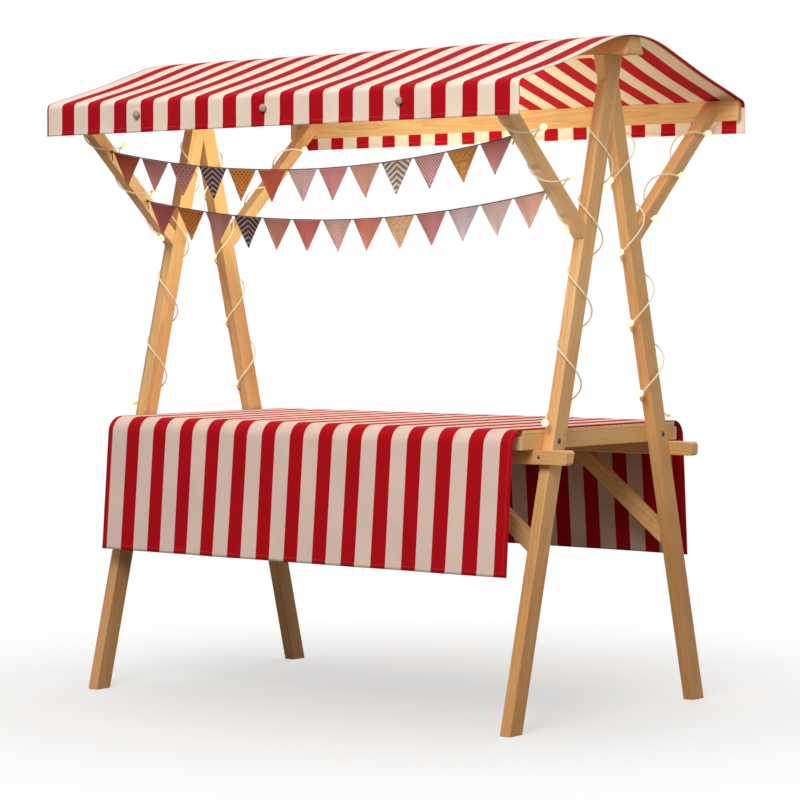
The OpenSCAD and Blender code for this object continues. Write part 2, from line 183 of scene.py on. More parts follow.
def new_material(name, roughness, sheen=0.0, specular=0.5):
    """A Principled material, its tree and its shader, with the even values set on the shader itself."""
    material = bpy.data.materials.new(name)
    material.use_nodes = True
    tree = material.node_tree
    shader = tree.nodes["Principled BSDF"]
    shader.inputs["Roughness"].default_value = roughness
    shader.inputs["Sheen Weight"].default_value = sheen
    shader.inputs["Specular IOR Level"].default_value = specular
    return material, tree, shader


def raise_bump(tree, shader, height, strength, distance):
    """Bump from a height field, in metres."""
    bump = add_node(tree, "ShaderNodeBump", {"Height": height, "Strength": strength, "Distance": distance})
    tree.links.new(bump.outputs[0], shader.inputs["Normal"])


def surface_place(tree, kind="Object"):
    """The place of a surface point: in the object's own metres, or on the piece's UV map."""
    return add_node(tree, "ShaderNodeTexCoord").outputs[kind]


def split(tree, vector):
    """The three numbers of a vector."""
    return add_node(tree, "ShaderNodeSeparateXYZ", {0: vector}).outputs


def mapped(tree, vector, scale=(1.0, 1.0, 1.0), turn=(0.0, 0.0, 0.0), shift=(0.0, 0.0, 0.0)):
    """A vector that is stretched, then turned, then moved."""
    return add_node(tree, "ShaderNodeMapping", {0: vector, 1: shift, 2: turn, 3: scale}).outputs[0]


def noise(tree, place, scale, detail=2.0):
    """Smooth noise about one half; a scale of three numbers stretches it."""
    if isinstance(scale, tuple):
        place, scale = mapped(tree, place, scale), 1.0
    inputs = {"Vector": place, "Scale": scale, "Detail": detail}
    return add_node(tree, "ShaderNodeTexNoise", inputs).outputs[0]


def mottled(name, tones, scale, detail, roughness, limits=None, relief=None):
    """Two tones mixed by noise, sharpened between limits and raised by a relief (strength, distance)."""
    material, tree, shader = new_material(name, roughness)
    mottle = noise(tree, surface_place(tree), scale, detail)
    share = ease(tree, mottle, *limits) if limits else mottle
    tree.links.new(blend_colours(tree, share, *tones), shader.inputs["Base Color"])
    if relief:
        raise_bump(tree, shader, mottle, *relief)
    return material, tree, shader


print("node helpers ready")

# %% [markdown]
# ## Bunting cords
# Two thin cords are tied between the front eave braces and sag under their pennants. Each is one
# smooth line through the corners of its pennants. The points are those of the CAD solid, so the drawn
# cord lies exactly where the physical one does. The cord is a dark twisted string: its finish turns a
# stripe round the tube with the cord's own coordinate, length along it and angle round it.

# %% Bunting cords
CORD_DIAMETER = 0.004
CORD_SIDES = 12
UPPER_HALF_ROUTE = [
    (0.061, 1.781), (0.0705, 1.781), (0.1925, 1.785), (0.202, 1.7855), (0.324, 1.7925), (0.3335, 1.793),
    (0.4555, 1.804), (0.465, 1.805), (0.587, 1.819), (0.5965, 1.8205), (0.7185, 1.838), (0.728, 1.840),
    (0.850, 1.861), (0.8637, 1.864),
]
LOWER_HALF_ROUTE = [
    (0.061, 1.619), (0.0705, 1.6195), (0.1925, 1.623), (0.202, 1.623), (0.324, 1.630), (0.3335, 1.631),
    (0.4555, 1.641), (0.465, 1.642), (0.587, 1.6555), (0.5965, 1.657), (0.7185, 1.674), (0.728, 1.6755),
    (0.850, 1.696), (0.8637, 1.6985),
]


def twisted_string(name, dark, light, strand):
    """String of two strands: a slanting stripe round the tube, raised between its grooves, which are painted
    darker as shade.
    """
    material, tree, shader = new_material(name, roughness=0.85, sheen=0.3)
    along, round_it, _ = split(tree, surface_place(tree, "UV"))
    slant = calc(tree, "ADD", calc(tree, "DIVIDE", along, strand), calc(tree, "MULTIPLY", round_it, 2.0))
    ridge = calc(tree, "ABSOLUTE", calc(tree, "SINE", calc(tree, "MULTIPLY", slant, np.pi)))
    # painted shade: the colour darkens into the grooves between the strands
    tree.links.new(blend_colours(tree, ridge, dark, light), shader.inputs["Base Color"])
    raise_bump(tree, shader, ridge, 0.6, 0.0005)
    return material


def whole_route(half_route, middle_y):
    """The route from the left brace to the right one: the half route mirrored, then itself."""
    half = np.array(half_route)
    across = np.concatenate([half[::-1] * (-1, 1), half])
    return np.column_stack([across[:, 0], np.full(len(across), middle_y), across[:, 1]])


def line_length(line):
    """Length of a line of points."""
    return float(np.linalg.norm(np.diff(line, axis=0), axis=1).sum())


def lengths_along(line):
    """Length of a line from its first point to each point."""
    return np.concatenate([[0], np.cumsum(np.linalg.norm(np.diff(line, axis=0), axis=1))])


def tube_coordinates(line, sides):
    """For each ring point of a tube, the length along it and the share of the way round."""
    along_grid, turn_grid = np.meshgrid(lengths_along(line), np.arange(sides) / sides, indexing="ij")
    return np.stack([along_grid, turn_grid], axis=-1)


def middle_of(node):
    """Middle of a node's box."""
    low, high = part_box(node)
    return (low + high) / 2


bunting_string = twisted_string("bunting_string", srgb(84, 56, 58), srgb(128, 94, 90), 0.006)


def bunting_cord(name, half_route):
    """One bunting cord on its CAD route, a tube that stands for the CAD node."""
    route = whole_route(half_route, middle_of(name).y)
    points, cells = tube(route, CORD_DIAMETER / 2, CORD_SIDES, (0, 0, 1))
    coordinates = tube_coordinates(route, CORD_SIDES)
    piece = add_piece(name + "_string", points, cells, [bunting_string], uv=coordinates)
    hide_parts(name)
    print(name, "is", round(line_length(route), 3), "m long")
    return route


upper_route = bunting_cord("upper_bunting_cord", UPPER_HALF_ROUTE)
lower_route = bunting_cord("lower_bunting_cord", LOWER_HALF_ROUTE)

# %% [markdown]
# ## String lights: the wire
# A cream wire is wound loosely down each leg and each eave brace. It could be drawn as a curve by eye,
# but a winding is a formula: an ellipse round the timber that moves down as it turns. The ellipse is
# widened from the one corner where the wire rests on the timber, so the other corners stand loose.
# The sizes repeat those of the CAD coils, with four times as many points for a smooth look.

# %% String light wire
WIRE_DIAMETER = 0.005
WIRE_CLEARANCE = 0.0028
WIRE_SLACK = {"right": 0.25, "left": 0.1}
WIRE_SIDES = 10
TURN_STEPS = 16
FINER = 4
LEG_TURN = 0.231
BRACE_TURN = 0.216
WIRE_TOP = 1.930
LEG_STEPS = {"right": 68, "left": 66}
BRACE_GAP = {"right": 0.065, "left": 0.061}
WIRE_FOOT = 0.065
LEG_SECTION = np.array([0.040, 0.065])
BRACE_SECTION = np.array([0.040, 0.046])
CROSS_HEIGHT = 2.056
FOOT_HALF = 0.5285
FRAME_X = 0.884
EAVE_INNER = 0.631
BRACE_FOOT = 1.545
BRACE_RISE = 0.427

lean = np.arctan(FOOT_HALF / CROSS_HEIGHT)
leg_outer_at_brace = FOOT_HALF * (1 - BRACE_FOOT / CROSS_HEIGHT) + LEG_SECTION[1] / np.cos(lean) / 2
brace_angle = np.arctan(BRACE_RISE / (EAVE_INNER - leg_outer_at_brace))
brace_axis = np.array([leg_outer_at_brace, BRACE_FOOT])
brace_axis = brace_axis + BRACE_SECTION[1] / 2 * np.array([-np.sin(brace_angle), np.cos(brace_angle)])
brace_length = (EAVE_INNER - brace_axis[0]) / np.cos(brace_angle)


def coil_axes(section):
    """Half axes of the tight ellipse whose wire clears the four corners of a section."""
    corner = WIRE_CLEARANCE * np.linalg.norm(section) / section.sum()
    return np.sqrt(2) * (section / 2 + corner)


def loose_turn(section, angle, touch, slack):
    """Points of a turn round a section, widened from the corner that it touches, and outward directions."""
    axes = coil_axes(section)
    ring = (1 + slack) * np.stack([axes[0] * np.cos(angle), axes[1] * np.sin(angle)], axis=-1)
    out = unit(np.stack([np.cos(angle) / axes[0], np.sin(angle) / axes[1]], axis=-1))
    return ring - slack * np.array(touch) * axes / np.sqrt(2), out


def leg_coil(steps, side, back):
    """Points and outward directions of the coil on a leg, at the given steps down from the top."""
    angle = np.pi + 2 * np.pi * steps / TURN_STEPS
    flat, out = loose_turn(LEG_SECTION, angle, (-1, 1) if back else (-1, -1), WIRE_SLACK[side])
    z = WIRE_TOP - LEG_TURN * steps / TURN_STEPS
    y = FOOT_HALF * (1 - z / CROSS_HEIGHT) - flat[:, 1] * np.cos(lean)
    facing = 1 if back else -1
    middle = FRAME_X if side == "right" else -FRAME_X
    points = np.column_stack([middle + flat[:, 0], facing * y, z - flat[:, 1] * np.sin(lean)])
    outward = np.column_stack([out[:, 0], -facing * out[:, 1] * np.cos(lean), -out[:, 1] * np.sin(lean)])
    return points, outward


def brace_coil(steps, side, back):
    """Points and outward directions of the coil on an eave brace, at the given steps down from the eave."""
    angle = np.radians(225 if back else 135) + 2 * np.pi * steps / TURN_STEPS
    flat, out = loose_turn(BRACE_SECTION, angle, (1, -1) if back else (-1, -1), WIRE_SLACK[side])
    along = brace_length - BRACE_GAP[side] - BRACE_TURN * steps / TURN_STEPS
    y = brace_axis[0] + along * np.cos(brace_angle) - flat[:, 1] * np.sin(brace_angle)
    z = brace_axis[1] + along * np.sin(brace_angle) + flat[:, 1] * np.cos(brace_angle)
    facing = 1 if back else -1
    middle = FRAME_X if side == "right" else -FRAME_X
    points = np.column_stack([middle + flat[:, 0], facing * y, z])
    outward = np.column_stack(
        [out[:, 0], -facing * out[:, 1] * np.sin(brace_angle), out[:, 1] * np.cos(brace_angle)]
    )
    return points, outward


def brace_steps(side):
    """Whole steps of the coil that fit on a brace."""
    room = brace_length - BRACE_GAP[side] - WIRE_FOOT
    return int(room / BRACE_TURN * TURN_STEPS)


def cream_plastic():
    """Soft cream plastic of the wire and the lamp holders, a little mottled and finely grained."""
    tones = srgb(244, 230, 198), srgb(254, 248, 228)
    material, tree, shader = mottled("cream_plastic", tones, 40.0, 3.0, roughness=0.45)
    raise_bump(tree, shader, noise(tree, surface_place(tree), 900.0), 0.15, 0.0002)
    return material


wire_plastic = cream_plastic()


def light_wire(name, line, upright):
    """One length of light wire on its coil, a tube that stands for the CAD node."""
    points, cells = tube(line, WIRE_DIAMETER / 2, WIRE_SIDES, upright)
    piece = add_piece(name + "_cable", points, cells, [wire_plastic])
    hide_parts(name)
    print(name, "is", round(line_length(line), 2), "m long")


for side in ("right", "left"):
    down = np.linspace(0, LEG_STEPS[side], LEG_STEPS[side] * FINER + 1)
    up_front, _ = leg_coil(down[::-1], side, back=False)
    down_back, _ = leg_coil(down, side, back=True)
    light_wire(f"{side}_leg_light_wire", np.concatenate([up_front, down_back]), (0, 0, 1))
    last = brace_steps(side)
    for end in ("front", "back"):
        line, _ = brace_coil(np.linspace(0, last, last * FINER + 1), side, end == "back")
        slope = (0, 1 if end == "back" else -1, 1)
        light_wire(f"{side}_{end}_brace_light_wire", line, slope)

# %% [markdown]
# ## String lights: the lamps
# Each lamp is a small round frosted globe in a short holder that sits on the wire and points away from
# the timber. Both are turned shapes: a profile of radius and height that is carried round an axis. All
# lamps of one A-frame are turned at once, as one array with the lamp, the profile and the turn.

# %% String light lamps
HOLDER_RADIUS = 0.005
HOLDER_LENGTH = 0.009
GLOBE_RADIUS = 0.012
GLOBE_LIFT = HOLDER_LENGTH + 0.8 * GLOBE_RADIUS
LAMP_SIDES = 20
LAMP_SEAT = 0.0003
FIRST_LEG_LAMP = {"front": 13, "back": 12}
FIRST_BRACE_LAMP = {"front": 12, "back": 6}


def turned(profile, places, axes, sides):
    """Points and cells of a profile of (radius, height) turned about an axis at each place."""
    profile, places, axes = np.array(profile), np.asarray(places), unit(np.asarray(axes, dtype=float))
    helper = np.where(np.abs(axes[:, 2:]) > 0.9, (1.0, 0.0, 0.0), (0.0, 0.0, 1.0))
    sideways = unit(np.cross(helper, axes))
    over = np.cross(axes, sideways)
    turn = np.linspace(0, 2 * np.pi, sides, endpoint=False)[:, None]
    ring = np.cos(turn) * sideways[:, None] + np.sin(turn) * over[:, None]
    points = (
        places[:, None, None]
        + profile[:, 0][None, :, None, None] * ring[:, None]
        + profile[:, 1][None, :, None, None] * axes[:, None, None]
    )
    cells = grid_cells(len(profile), sides, wrap=True)
    each = len(profile) * sides * np.arange(len(places))
    return points.reshape(-1, 3), (cells[None] + each[:, None, None]).reshape(-1, 4)


def close_poles(piece):
    """Merges the points of a mesh that meet, such as those on the axis of a turned shape."""
    work = bmesh.new()
    work.from_mesh(piece.data)
    bmesh.ops.remove_doubles(work, verts=work.verts, dist=1e-6)
    bmesh.ops.dissolve_degenerate(work, edges=work.edges, dist=1e-7)
    work.to_mesh(piece.data)
    work.free()


def frosted_globe():
    """Warm glowing frosted plastic, slightly mottled."""
    tones = srgb(255, 232, 188), srgb(255, 248, 228)
    material, _, shader = mottled("frosted_globe", tones, 150.0, 2.0, roughness=0.35)
    shader.inputs["Emission Color"].default_value = srgb(255, 226, 172)
    shader.inputs["Emission Strength"].default_value = 0.9
    return material


globe_finish = frosted_globe()
holder_profile = [
    (0.0, 0.0), (0.0042, 0.0), (HOLDER_RADIUS, 0.0008), (HOLDER_RADIUS, 0.0030), (0.0044, 0.0036),
    (0.0044, 0.0068), (HOLDER_RADIUS, 0.0074), (HOLDER_RADIUS, HOLDER_LENGTH), (0.0, HOLDER_LENGTH + 0.001),
]
globe_turn = np.linspace(-0.5 * np.pi, 0.5 * np.pi, 13)
globe_profile = GLOBE_RADIUS * np.column_stack([np.cos(globe_turn), np.sin(globe_turn)]) + (0.0, GLOBE_LIFT)


def lamp_steps(first, last):
    """Steps of the coil that carry a lamp: one each turn from the first, and one at the end."""
    return np.append(np.arange(first, last - 2, TURN_STEPS), last).astype(float)


def lamps(side):
    """All lamps of one A-frame as one piece, with holders and globes in their own finishes."""
    last = brace_steps(side)
    ends = ("front", "back")
    spots = [leg_coil(lamp_steps(FIRST_LEG_LAMP[end], LEG_STEPS[side]), side, end == "back") for end in ends]
    spots += [brace_coil(lamp_steps(FIRST_BRACE_LAMP[end], last), side, end == "back") for end in ends]
    places = np.concatenate([spot[0] for spot in spots])
    axes = np.concatenate([spot[1] for spot in spots])
    places = places + (WIRE_DIAMETER / 2 + LAMP_SEAT) * axes
    holder_points, holder_cells = turned(holder_profile, places, axes, LAMP_SIDES)
    globe_points, globe_cells = turned(globe_profile, places, axes, LAMP_SIDES)
    points = np.concatenate([holder_points, globe_points])
    cells = np.concatenate([holder_cells, globe_cells + len(holder_points)])
    numbers = np.repeat([0, 1], [len(holder_cells), len(globe_cells)])
    finishes = [wire_plastic, globe_finish]
    piece = add_piece(f"{side}_string_lamps", points, cells, finishes, material_numbers=numbers)
    close_poles(piece)
    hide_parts(f"{side}_lamps")
    print(side, "A-frame has", len(places), "lamps")


lamps("right")
lamps("left")

# %% [markdown]
# ## Bunting knots
# Each bunting cord ends at the inner face of its brace, where it is tied off with a knot and a short
# tail. A knot of thin string is a small lump, so a turned shape and a hanging tube are enough.

# %% Bunting knots
KNOT_RADIUS = 0.0055
TAIL_LENGTH = 0.030


def bunting_knot(name, end):
    """A knot where a cord meets its brace, with a tail that hangs from it, in the cord's own string."""
    inward = -np.sign(end[0])
    knot_turn = np.linspace(-0.5 * np.pi, 0.5 * np.pi, 9)
    knot_profile = KNOT_RADIUS * np.column_stack([0.8 * np.cos(knot_turn), np.sin(knot_turn)])
    place = end + np.array([inward * 0.6 * KNOT_RADIUS, 0, 0])
    knot_points, knot_cells = turned(knot_profile, place[None], np.array([[0.2, 0.1, 1.0]]), CORD_SIDES)
    fall = np.linspace(0, 1, 10)[:, None]
    tail = place + fall * (0.004 * inward, -0.003, -TAIL_LENGTH) + fall**2 * (0.003 * inward, 0.0, 0.0)
    tail_points, tail_cells = tube(tail, CORD_DIAMETER / 2, CORD_SIDES, (0, 1, 0))
    along_knot = np.column_stack([knot_profile, 0 * knot_turn])
    coordinates = [tube_coordinates(line, CORD_SIDES).reshape(-1, 2) for line in (along_knot, tail)]
    tail_cells = [[corner + len(knot_points) for corner in cell] for cell in tail_cells]
    piece = add_piece(
        name, np.concatenate([knot_points, tail_points]), knot_cells.tolist() + tail_cells,
        [bunting_string], uv=np.concatenate(coordinates),
    )
    close_poles(piece)


for row, route in (("upper", upper_route), ("lower", lower_route)):
    bunting_knot(f"{row}_left_knot", route[0])
    bunting_knot(f"{row}_right_knot", route[-1])
print("knots: 4")

# %% [markdown]
# ## Striped cotton canvas
# Canopy and tablecloth are cut from the same kind of canvas: broad red and cream stripes of one width,
# woven in, so the edges are sharp. The finish works in metres on the cloth's own coordinate, with the
# first number across the stripes and the second along them. A plain weave is the product of two sines.
# A stitched line follows every edge at the width of the hem.


# %% Striped cotton canvas
STRIPE_PITCH = 0.1226
RED_SHARE = 0.475
STRIPE_EDGE = 0.006
HEM_WIDTH = 0.014
HEM_LAYERS = 1.8
STITCH_LENGTH = 0.005
STITCH_SHARE = 0.7
SEAM_EDGE = (0.0005, 0.0009)
PUCKER_WIDTH = 0.004
CANVAS_THREAD = 0.0016
CANVAS_THICK = 0.0014


def plain_weave(tree, across, along, thread):
    """Height of a plain weave: two sine waves at right angles, multiplied."""
    first = calc(tree, "SINE", calc(tree, "MULTIPLY", across, 2 * np.pi / thread))
    second = calc(tree, "SINE", calc(tree, "MULTIPLY", along, 2 * np.pi / thread))
    return calc(tree, "MULTIPLY", first, second)


def striped_canvas(name, red, cream, red_middle, red_share, size):
    """Canvas with a red stripe about red_middle in every pitch, and a stitched hem along its edges."""
    material, tree, shader = new_material(name, roughness=0.9, sheen=0.03, specular=0.05)
    place = surface_place(tree, "UV")
    across, along, _ = split(tree, place)
    step = calc(tree, "DIVIDE", calc(tree, "SUBTRACT", across, red_middle), STRIPE_PITCH)
    phase = calc(tree, "SUBTRACT", calc(tree, "FRACT", calc(tree, "ADD", step, 0.5)), 0.5)
    from_middle = calc(tree, "ABSOLUTE", phase)
    reddish = ease(tree, from_middle, red_share / 2 - STRIPE_EDGE, red_share / 2 + STRIPE_EDGE, 1.0, 0.0)

    cloudy = noise(tree, place, 5.0, 4.0)
    slub = noise(tree, place, (900.0, 60.0, 1.0))
    tone = blend_colours(tree, reddish, cream, red)
    shade = ease(tree, calc(tree, "ADD", cloudy, calc(tree, "MULTIPLY", slub, 0.5)), 0.45, 1.05, 0.92, 1.04)
    grey = add_node(tree, "ShaderNodeCombineColor", {0: shade, 1: shade, 2: shade}).outputs[0]
    tone = blend_colours(tree, 1.0, tone, grey, "MULTIPLY")

    from_end = calc(tree, "SUBTRACT", size[0] / 2, calc(tree, "ABSOLUTE", across))
    from_hem = calc(tree, "MINIMUM", along, calc(tree, "SUBTRACT", size[1], along))
    from_edge = calc(tree, "MINIMUM", from_end, from_hem)
    off_seam = calc(tree, "ABSOLUTE", calc(tree, "SUBTRACT", from_edge, HEM_WIDTH))
    on_seam = ease(tree, off_seam, *SEAM_EDGE, 1.0, 0.0)
    stitches = calc(tree, "DIVIDE", calc(tree, "ADD", across, along), STITCH_LENGTH)
    dash = calc(tree, "LESS_THAN", calc(tree, "FRACT", stitches), STITCH_SHARE)
    stitch = calc(tree, "MULTIPLY", on_seam, dash)
    tone = blend_colours(tree, calc(tree, "MULTIPLY", stitch, 0.14), tone, srgb(214, 178, 160))
    tree.links.new(tone, shader.inputs["Base Color"])

    weave = calc(tree, "MULTIPLY", plain_weave(tree, across, along, CANVAS_THREAD), 0.5)
    pucker = ease(tree, off_seam, 0.0, PUCKER_WIDTH, -1.5, 0.0)
    height = calc(tree, "ADD", calc(tree, "ADD", weave, slub), calc(tree, "ADD", pucker, stitch))
    raise_bump(tree, shader, height, 0.5, 0.0004)
    return material


print("stripes repeat every", STRIPE_PITCH, "m")

# %% [markdown]
# ## Canopy
# The canopy is one sheet that lies on the ridge beam and folds over the two eave beams, where it hangs
# down as a valance. A simulation would find the same shape, because the cloth is stretched on the
# beams. So the sheet is a profile across the roof, made of straight runs and arcs, carried along the
# stall. The cloth dips a little between its beams, and the free hems ripple. A lining under the slopes
# has stripes of its own, so the inner faces of the thickness take a second canvas.

# %% Canopy
CLOTH_SEAT = 0.0003
CLOTH_SOLID = 0.003
EAVE_ROUND = 0.018
RIDGE_ROUND = 0.540
RIDGE_HEIGHT = 0.083
EAVE_DROP = 0.121
BEAM_DEPTH = 0.062
CLOTH_COLUMNS = 161
SLOPE_DIP = 0.004
DIP_WAVE = 0.9
VALANCE_RIPPLE = 0.0028
RIPPLE_WAVES = (0.245, 0.41)
CANOPY_STRIPE = -0.9000
LINING_STRIPE = 0.8868
LINING_SHARE = 0.4935

canopy_low, canopy_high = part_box("canopy")
middle_layer = CLOTH_SEAT + CLOTH_SOLID / 2
leg_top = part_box("right_front_leg")[1].z
eave_half = canopy_high.y - CLOTH_SEAT - CLOTH_SOLID
ridge_line = leg_top + RIDGE_HEIGHT
eave_height = leg_top - EAVE_DROP
pitch = np.arctan((ridge_line - eave_height) / eave_half)


def arc(centre, radius, start, end, steps):
    """Points on a circle from one angle to another."""
    angle = np.linspace(start, end, steps)
    return np.asarray(centre) + radius * np.stack([np.cos(angle), np.sin(angle)], axis=-1)


def roof_profile():
    """Points (y, z) from the front hem over the ridge to the ridge's top, then mirrored to the back hem."""
    fold_y = eave_half - EAVE_ROUND
    fold = np.array([-fold_y, ridge_line - fold_y * np.tan(pitch) - EAVE_ROUND / np.cos(pitch)])
    crown = np.array([0.0, ridge_line - RIDGE_ROUND / np.cos(pitch)])
    fold_arc = arc(fold, EAVE_ROUND + middle_layer, np.pi, np.pi / 2 + pitch, 9)
    crown_arc = arc(crown, RIDGE_ROUND + middle_layer, np.pi / 2 + pitch, np.pi / 2, 16)
    hem = np.array([-(eave_half + middle_layer), canopy_low.z])
    valance = np.linspace(hem, fold_arc[0], 18)[:-1]
    slope = np.linspace(fold_arc[-1], crown_arc[0], 30)[1:-1]
    front = np.concatenate([valance, fold_arc, slope, crown_arc])
    return np.concatenate([front, front[::-1][1:] * (-1, 1)])


def carried_sheet(profile, low, high):
    """Grids of a profile (y, z) carried from low to high along X: x, length along the profile, y and z."""
    x, s = np.meshgrid(np.linspace(low.x, high.x, CLOTH_COLUMNS), lengths_along(profile))
    y, z = (np.broadcast_to(column[:, None], x.shape).copy() for column in profile.T)
    return x, s, y, z


def add_hems(piece, cut_x, s, size):
    """Gives a sheet its thickness: one layer in the field, nearly two within a hem's width of its edges."""
    from_edges = np.minimum(size[0] / 2 - np.abs(cut_x), np.minimum(s, size[1] - s)).ravel()
    group = piece.vertex_groups.new(name="hem")
    group.add(np.flatnonzero(from_edges > HEM_WIDTH).tolist(), 1 / HEM_LAYERS, "REPLACE")
    group.add(np.flatnonzero(from_edges <= HEM_WIDTH).tolist(), 1.0, "REPLACE")
    solid = piece.modifiers.new("canvas_thickness", "SOLIDIFY")
    solid.thickness = HEM_LAYERS * CANVAS_THICK
    solid.offset = 0.0
    solid.vertex_group = group.name


x, s, y, z = carried_sheet(roof_profile(), canopy_low, canopy_high)
crown_half = RIDGE_ROUND * np.sin(pitch)
slope_share = np.clip((np.abs(y) - crown_half) / (eave_half - EAVE_ROUND - crown_half), 0, 1)
dip_wave = 1 + 0.35 * np.cos(2 * np.pi * x / DIP_WAVE + 0.6 * np.sign(y))
z -= SLOPE_DIP * np.sin(np.pi * slope_share) ** 2 * dip_wave
beam_bottom = eave_height - BEAM_DEPTH
free = np.clip((beam_bottom - z) / (beam_bottom - canopy_low.z), 0, 1) ** 1.5
short_wave, long_wave = (2 * np.pi * x / length for length in RIPPLE_WAVES)
ripple = np.sin(short_wave + 0.7) + 0.6 * np.sin(long_wave + 2.1 + np.sign(y))
y += np.sign(y) * VALANCE_RIPPLE * free * (ripple * 0.5 + 0.2)

canopy_size = (canopy_high.x - canopy_low.x, s[-1, 0])
canopy_canvas = striped_canvas(
    "canopy_canvas", srgb(186, 14, 30), srgb(248, 228, 212), CANOPY_STRIPE, RED_SHARE, canopy_size
)
canopy_lining = striped_canvas(
    "canopy_lining", srgb(170, 18, 28), srgb(220, 186, 156), LINING_STRIPE, LINING_SHARE, canopy_size
)
cells = grid_cells(*x.shape)
on_valance = z.ravel()[cells].mean(axis=1) < eave_height - EAVE_ROUND
canopy = add_piece(
    "canopy_sheet", np.stack([x, y, z], axis=-1), cells,
    [canopy_canvas, canopy_lining, canopy_canvas, canopy_canvas],
    uv=np.stack([x, s], axis=-1), material_numbers=np.where(on_valance, 2, 0),
)
add_hems(canopy, x, s, canopy_size)
canopy.modifiers["canvas_thickness"].material_offset = 1
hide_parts("canopy")
print("canopy is cut", np.round(canopy_size, 3).tolist(), "m")

# %% [markdown]
# ## Tablecloth
# The tablecloth lies on the boards and hangs as a skirt at the front and at the back. It is heavy and
# smooth, and bends over the edge in a soft shoulder. As with the canopy, a profile of runs and arcs is
# carried along the counter, and the skirts swing a little more towards their hems. At the left end the
# skirts spread a little past the table. The cloth's coordinate keeps the place before that, so that the
# stripes and the hem spread with it.

# %% Tablecloth
SHOULDER_ROUND = 0.055
APRON_OUTER = 0.435
HEM_FLARE = 0.035
SKIRT_DROP = 0.455
SKIRT_SWING = 0.0024
SWING_WAVES = (0.52, 0.31)
END_CURL = 0.004
CURL_REACH = 0.05
LEFT_SPREAD = 0.008
TABLE_STRIPE = -0.7510

cloth_low, cloth_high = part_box("tablecloth")
board_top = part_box("table_board_3")[1].z


def table_profile():
    """Points (y, z) from the front hem up the skirt, round the shoulder and over the table, then mirrored."""
    shoulder = np.array([-APRON_OUTER, board_top + CLOTH_SEAT - SHOULDER_ROUND])
    hem = np.array([-(APRON_OUTER + SHOULDER_ROUND + HEM_FLARE), board_top - SKIRT_DROP])
    reach = np.linalg.norm(hem - shoulder)
    bearing = np.arctan2(hem[1] - shoulder[1], -(hem[0] - shoulder[0]))
    skirt_angle = bearing + np.arccos(SHOULDER_ROUND / reach)
    shoulder_arc = arc(shoulder, SHOULDER_ROUND + middle_layer, np.pi - skirt_angle, np.pi / 2, 14)
    skirt_length = np.sqrt(reach**2 - SHOULDER_ROUND**2)
    hem_line = shoulder_arc[0] + skirt_length * np.array([-np.sin(skirt_angle), -np.cos(skirt_angle)])
    middle = np.array([0.0, shoulder_arc[-1][1]])
    skirt = np.linspace(hem_line, shoulder_arc[0], 40)[:-1]
    table = np.linspace(shoulder_arc[-1], middle, 28)[1:]
    front = np.concatenate([skirt, shoulder_arc, table])
    return np.concatenate([front, front[::-1][1:] * (-1, 1)])


x, s, y, z = carried_sheet(table_profile(), cloth_low, cloth_high)
hanging = np.clip((board_top - SHOULDER_ROUND - z) / (SKIRT_DROP - SHOULDER_ROUND), 0, 1)
long_wave, short_wave = (2 * np.pi * x / length for length in SWING_WAVES)
swing = np.sin(long_wave + 0.4 + np.sign(y)) + 0.5 * np.sin(short_wave + 1.9)
end_curl = np.exp(-((np.abs(x) - cloth_high.x) / CURL_REACH) ** 2)
y += np.sign(y) * hanging**1.4 * (SKIRT_SWING * swing - END_CURL * end_curl)
off_table = np.clip((np.abs(y) - APRON_OUTER) / SHOULDER_ROUND, 0, 1)
left_end = np.clip(1 + (cloth_low.x - x) / SHOULDER_ROUND, 0, 1) ** 2
cut_x = x.copy()
x -= LEFT_SPREAD * off_table * left_end

cloth_size = (cloth_high.x - cloth_low.x, s[-1, 0])
# Painted shade: the tablecloth's red and cream are the canopy's, made darker because the counter lies in
# shade.
table_canvas = striped_canvas(
    "table_canvas", srgb(180, 11, 24), srgb(232, 207, 196), TABLE_STRIPE, RED_SHARE, cloth_size
)
tablecloth = add_piece(
    "tablecloth_sheet", np.stack([x, y, z], axis=-1), grid_cells(*x.shape), [table_canvas],
    uv=np.stack([cut_x, s], axis=-1),
)
add_hems(tablecloth, cut_x, s, cloth_size)
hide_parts("tablecloth")
print("tablecloth is cut", np.round(cloth_size, 3).tolist(), "m")

# %% [markdown]
# ## Pennant cottons
# The pennants are cut from remnants of light cotton: plain, dotted, checked, sprigged and chevron. A
# print is a pattern in metres on the pennant's own coordinate, which starts at the middle of its top
# edge. One function lays the weave under any print, and each print only says where its second colour is.


# %% Pennant cottons
PENNANT_WIDTH = 0.122
PENNANT_DROP = 0.104
PENNANT_HEM = (0.0046, 0.0054)
BIAS_TURN = 0.9
COTTON_THREAD = 0.0011


def dots(tree, place, spacing, radius):
    """Round dots in staggered rows: the distance to the nearest of two square lattices of points."""
    near = []
    for shift in (0.0, 0.5):
        moved = mapped(tree, place, (1 / spacing, 1 / spacing, 1.0), shift=(shift, shift, 0.0))
        cell = add_node(tree, "ShaderNodeVectorMath", {0: moved}, operation="FRACTION").outputs[0]
        centred = add_node(tree, "ShaderNodeVectorMath", {0: cell, 1: (0.5, 0.5, 0.0)}, operation="DISTANCE")
        near.append(centred.outputs["Value"])
    nearest = calc(tree, "MULTIPLY", calc(tree, "MINIMUM", *near), spacing)
    return ease(tree, nearest, radius * 0.8, radius * 1.15, 1.0, 0.0)


def chevron(tree, place, width, rise, share):
    """Zigzag bands: the height plus a folded share of the distance across, cut into bands of a share."""
    across, along, _ = split(tree, place)
    fold = calc(tree, "MULTIPLY", calc(tree, "ABSOLUTE", across), rise)
    band = calc(tree, "FRACT", calc(tree, "DIVIDE", calc(tree, "ADD", along, fold), width))
    off_middle = calc(tree, "ABSOLUTE", calc(tree, "SUBTRACT", band, 0.5))
    return ease(tree, off_middle, share / 2 - 0.03, share / 2 + 0.03, 1.0, 0.0)


